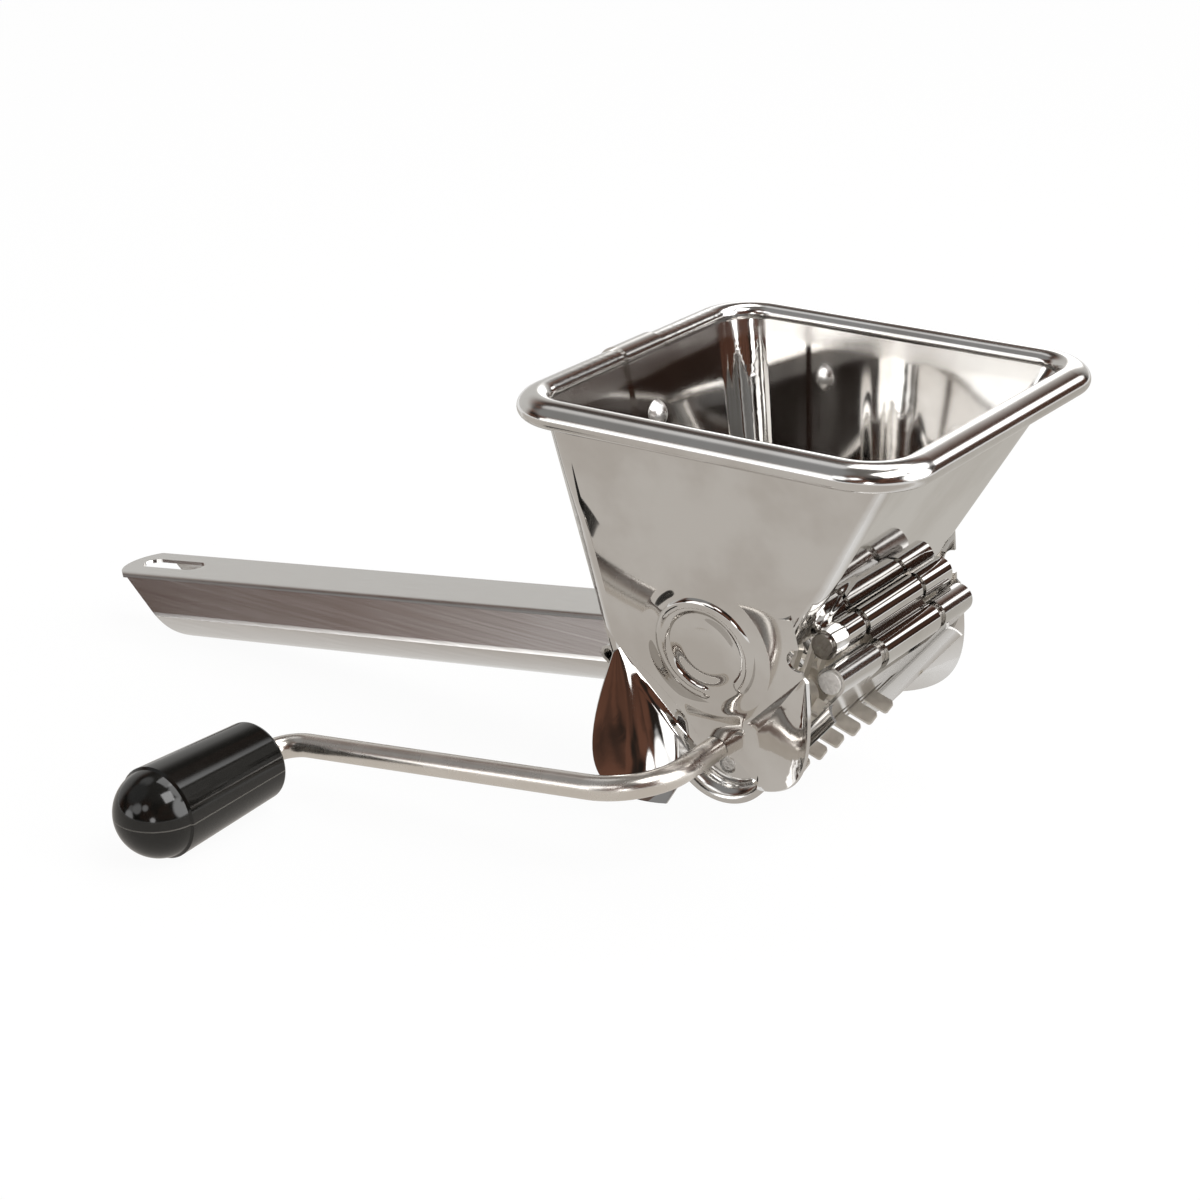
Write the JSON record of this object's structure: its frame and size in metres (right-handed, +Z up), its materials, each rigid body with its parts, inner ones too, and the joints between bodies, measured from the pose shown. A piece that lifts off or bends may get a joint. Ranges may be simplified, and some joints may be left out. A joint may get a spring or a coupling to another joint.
{
  "type": "hand-cranked rotary mill",
  "caption": "Hand-cranked rotary grater: square steel hopper with a rolled rim, hinged slotted trough, tined rotor on a bent crank and a folded channel handle.",
  "frame": {"origin": "middle of the underside of the whole at rest", "axes": "+Z up through the hopper's mouth, crank shaft along Y with the knob at -Y, handle towards -X, hinge at +X"},
  "size_m": [0.2314, 0.1434, 0.0914],
  "materials": {
    "polished_steel": "mirror-polished stainless sheet",
    "satin_steel": "satin stainless sheet",
    "pin_steel": "bright drawn",
    "nickel_rod": "nickel-plated rod",
    "tumbled_steel": "tumbled matt",
    "black_plastic": "moulded gloss"
  },
  "bodies": {
    "hopper": {"hopper_shell": "polished_steel", "seam_rivet": "pin_steel", "handle": "satin_steel", "handle_rivets": "pin_steel", "hinge_pin_upper": "pin_steel"},
    "link": {"hinge_link": "polished_steel"},
    "grate": {"grate": "polished_steel", "grate_cheek_front": "polished_steel", "grate_cheek_rear": "polished_steel", "hinge_pin_lower": "pin_steel"},
    "rotor": {"crank_rod": "nickel_rod", "tine_star_1": "tumbled_steel", "tine_star_2": "tumbled_steel", "tine_star_3": "tumbled_steel", "tine_star_4": "tumbled_steel", "tine_star_5": "tumbled_steel", "tine_star_6": "tumbled_steel"},
    "knob": {"knob": "black_plastic", "knob_cap": "black_plastic"}
  },
  "joints": [
    {"name": "crank_turn", "type": "hinge", "parent": "hopper", "child": "rotor", "pos_m": [0.06777, 0.02845, 0.02136], "axis": [0, 1, 0], "continuous": true},
    {"name": "knob_turn", "type": "hinge", "parent": "rotor", "child": "knob", "pos_m": [-0.02198, -0.04655, 0.0097], "axis": [0, 1, 0], "continuous": true},
    {"name": "link_swing", "type": "hinge", "parent": "hopper", "child": "link", "pos_m": [0.08817, 0.02845, 0.04586], "axis": [0, -1, 0], "range_deg": [0, 25]},
    {"name": "grate_swing", "type": "hinge", "parent": "link", "child": "grate", "pos_m": [0.09237, 0.02845, 0.04056], "axis": [0, -1, 0], "range_deg": [0, 100]}
  ]
}
